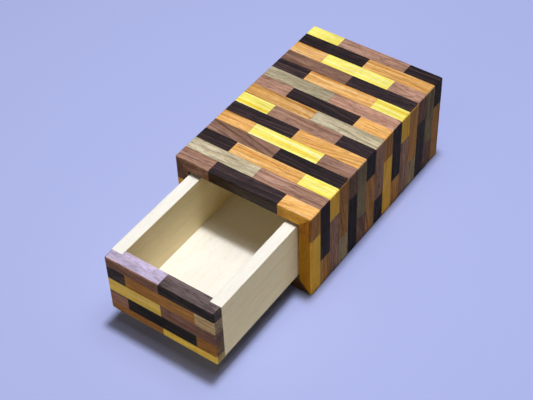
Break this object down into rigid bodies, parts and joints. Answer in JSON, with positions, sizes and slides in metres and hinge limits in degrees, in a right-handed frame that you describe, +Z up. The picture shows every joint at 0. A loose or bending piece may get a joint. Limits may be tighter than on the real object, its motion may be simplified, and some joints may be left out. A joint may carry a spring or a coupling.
{
  "type": "puzzle box",
  "caption": "Palm-sized wooden puzzle box: a mitred case laminated from contrasting strips, a sliding drawer for keepsakes, and a hidden lock worked by tipping the box.",
  "frame": {"origin": "middle of the case's flat underside", "axes": "+X to the right as seen from the drawer's front, +Y from the mouth to the back, +Z up"},
  "size_m": [0.078, 0.1835, 0.0524],
  "materials": {
    "walnut": "satin oiled",
    "ebony": "satin oiled",
    "cherry": "satin oiled",
    "yellowwood": "satin oiled",
    "magnolia": "satin oiled",
    "drawer_wood": "sanded",
    "steel": "ground"
  },
  "bodies": {
    "case": {"back_cherry": "cherry", "back_ebony": "ebony", "back_magnolia": "magnolia", "back_walnut": "walnut", "back_yellowwood": "yellowwood", "bottom_cherry": "cherry", "bottom_ebony": "ebony", "bottom_magnolia": "magnolia", "bottom_walnut": "walnut", "bottom_yellowwood": "yellowwood", "drawer_stop": "drawer_wood", "left_cherry": "cherry", "left_ebony": "ebony", "left_magnolia": "magnolia", "left_walnut": "walnut", "left_yellowwood": "yellowwood", "lock_guide_left": "drawer_wood", "lock_guide_right": "drawer_wood", "right_cherry": "cherry", "right_ebony": "ebony", "right_magnolia": "magnolia", "right_walnut": "walnut", "right_yellowwood": "yellowwood", "top_cherry": "cherry", "top_ebony": "ebony", "top_magnolia": "magnolia", "top_walnut": "walnut", "top_yellowwood": "yellowwood"},
    "drawer": {"drawer_back": "drawer_wood", "drawer_floor": "drawer_wood", "drawer_left_side": "drawer_wood", "drawer_right_side": "drawer_wood", "front_cherry": "cherry", "front_ebony": "ebony", "front_magnolia": "magnolia", "front_walnut": "walnut", "front_yellowwood": "yellowwood", "lock_hook": "drawer_wood"},
    "lock_pin": {"lock_pin": "steel"}
  },
  "joints": [
    {"name": "drawer_slide", "type": "slide", "parent": "case", "child": "drawer", "axis": [0, -1, 0], "range_m": [-0.0635, 0.006]},
    {"name": "pin_slide", "type": "slide", "parent": "case", "child": "lock_pin", "axis": [1, 0, 0], "range_m": [0, 0.016]}
  ]
}
